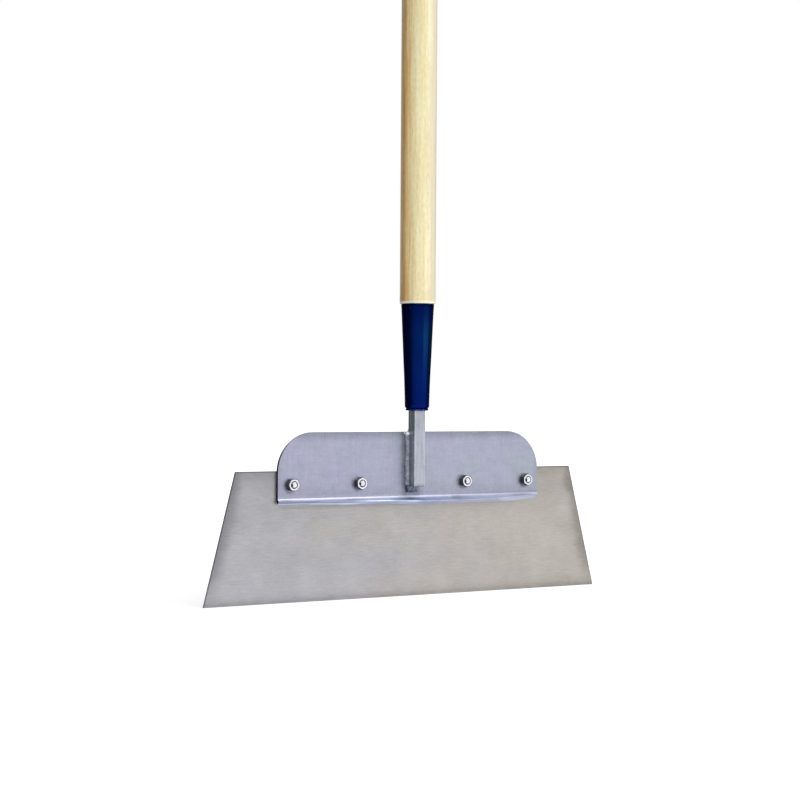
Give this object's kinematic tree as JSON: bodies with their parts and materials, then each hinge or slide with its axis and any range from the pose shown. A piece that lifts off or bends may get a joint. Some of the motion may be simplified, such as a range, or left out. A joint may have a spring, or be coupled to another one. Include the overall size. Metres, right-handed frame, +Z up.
{
  "type": "floor scraper",
  "caption": "Long-handled floor scraper: flat trapezoid blade bolted behind a bent bracket plate, with a welded square shank, tapered painted ferrule and round wooden handle.",
  "frame": {"origin": "middle of the scraping edge, at half the blade's thickness", "axes": "+Z up along the handle, +X along the blade, and the nuts, lip and shank are on the -Y side; the scraper stands upright on its edge"},
  "size_m": [0.4572, 0.0358, 1.4076],
  "materials": {
    "blade_steel": "rolled spring steel with fine lengthwise brush marks",
    "plate_steel": "bluish mill-finish steel plate, satin",
    "bar_steel": "cold-drawn bar, satin, marks along its length",
    "weld_steel": "rippled weld metal, slightly darkened",
    "bright_zinc": "bright zinc plate",
    "blue_paint": "glossy dark navy paint",
    "pale_wood": "pale straight-grained hardwood, thin clear lacquer"
  },
  "bodies": {
    "scraper": {"blade": "blade_steel", "bracket_plate": "plate_steel", "shank_bar": "bar_steel", "weld_left_side": "weld_steel", "weld_right_side": "weld_steel", "weld_bottom_end": "weld_steel", "weld_top_edge": "weld_steel", "bolt_far_left": "bright_zinc", "bolt_mid_left": "bright_zinc", "bolt_mid_right": "bright_zinc", "bolt_far_right": "bright_zinc", "ferrule": "blue_paint", "ferrule_pin": "blue_paint", "wood_handle": "pale_wood"},
    "loose_nut_far_left": {"nut_far_left": "bright_zinc"},
    "loose_nut_mid_left": {"nut_mid_left": "bright_zinc"},
    "loose_nut_mid_right": {"nut_mid_right": "bright_zinc"},
    "loose_nut_far_right": {"nut_far_right": "bright_zinc"}
  },
  "joints": [
    {"name": "nut_far_left_turn", "type": "hinge", "parent": "scraper", "child": "loose_nut_far_left", "pos_m": [-0.1374, -0.0068, 0.1138], "axis": [0, -1, 0], "continuous": true},
    {"name": "nut_mid_left_turn", "type": "hinge", "parent": "scraper", "child": "loose_nut_mid_left", "pos_m": [-0.0618, -0.0068, 0.1138], "axis": [0, -1, 0], "continuous": true},
    {"name": "nut_mid_right_turn", "type": "hinge", "parent": "scraper", "child": "loose_nut_mid_right", "pos_m": [0.0618, -0.0068, 0.1138], "axis": [0, -1, 0], "continuous": true},
    {"name": "nut_far_right_turn", "type": "hinge", "parent": "scraper", "child": "loose_nut_far_right", "pos_m": [0.1374, -0.0068, 0.1138], "axis": [0, -1, 0], "continuous": true}
  ]
}
